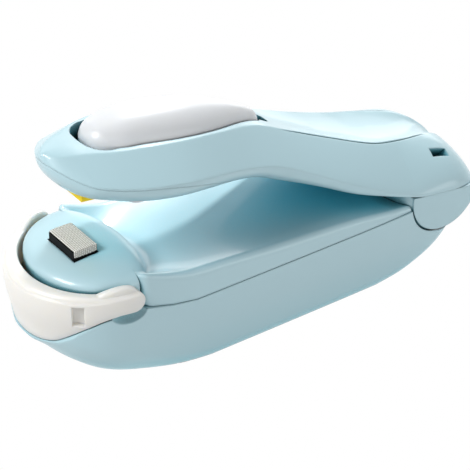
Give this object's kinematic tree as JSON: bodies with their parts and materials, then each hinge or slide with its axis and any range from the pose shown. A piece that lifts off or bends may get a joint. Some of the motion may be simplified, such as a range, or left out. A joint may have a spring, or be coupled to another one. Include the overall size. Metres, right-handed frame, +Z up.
{
  "type": "handheld bag sealer",
  "caption": "Handheld bag heat sealer: a sprung lever with a thumb button shuts a press pad on a heated ribbon in the nose of a battery base, with a swinging U-shaped safety guard.",
  "frame": {"origin": "centre of the overall box in plan, at the level of the table", "axes": "+X from the heated nose to the hinge, +Y across the sealer, +Z up from the table"},
  "size_m": [0.114, 0.0372, 0.0571],
  "materials": {
    "blue_plastic": "satin moulded plastic, light blue",
    "white_plastic": "satin moulded plastic, white",
    "yellow_rubber": "matte silicone rubber, yellow",
    "heater_black": "matte heat-resistant plastic, black",
    "woven_cloth": "woven glass cloth, beige grey",
    "ribbon_metal": "resistance ribbon",
    "terminal_brass": "plain brass",
    "contact_steel": "nickel-plated sheet and wire",
    "pin_steel": "plain steel",
    "lead_jacket": "insulated lead",
    "cell_jacket": "plain unprinted cell jacket; aluminium's density is close to that of a cell",
    "switch_black": "moulded switch case",
    "plunger_plastic": "moulded switch plunger",
    "board_green": "circuit board"
  },
  "bodies": {
    "base": {"lower_shell": "blue_plastic", "upper_shell": "blue_plastic", "battery_near": "cell_jacket", "battery_far": "cell_jacket", "battery_springs": "contact_steel", "front_contacts": "contact_steel", "bridge_contact": "contact_steel", "base_leads": "lead_jacket", "base_screws": "pin_steel", "heater_block": "heater_black", "heater_ribbon": "ribbon_metal", "heater_cloth": "woven_cloth", "heater_terminals": "terminal_brass", "return_spring": "pin_steel"},
    "lever": {"lever_shell": "blue_plastic", "lever_frame": "blue_plastic", "press_pad": "yellow_rubber", "hinge_pin": "pin_steel", "switch_body": "switch_black", "switch_board": "board_green", "lever_leads": "lead_jacket", "lever_screws": "pin_steel"},
    "button": {"thumb_button": "white_plastic", "switch_plunger": "plunger_plastic"},
    "guard": {"safety_guard": "white_plastic"},
    "door": {"battery_door": "blue_plastic"}
  },
  "joints": [
    {"name": "lever_hinge", "type": "hinge", "parent": "base", "child": "lever", "pos_m": [0.044, 0, 0.02], "axis": [0, -1, 0], "range_deg": [0, 7], "stiffness_Nm_per_rad": 0.6, "springref_deg": -8.59},
    {"name": "button_press", "type": "slide", "parent": "lever", "child": "button", "axis": [-0.1392, 0, -0.9903], "range_m": [0, 0.0006], "stiffness_N_per_m": 2000, "springref_m": -0.0005},
    {"name": "guard_hinge", "type": "hinge", "parent": "base", "child": "guard", "pos_m": [-0.0395, 0, 0.02395], "axis": [0, 1, 0], "range_deg": [0, 30]},
    {"name": "door_slide", "type": "slide", "parent": "base", "child": "door", "axis": [1, 0, 0], "range_m": [0, 0.06]}
  ]
}
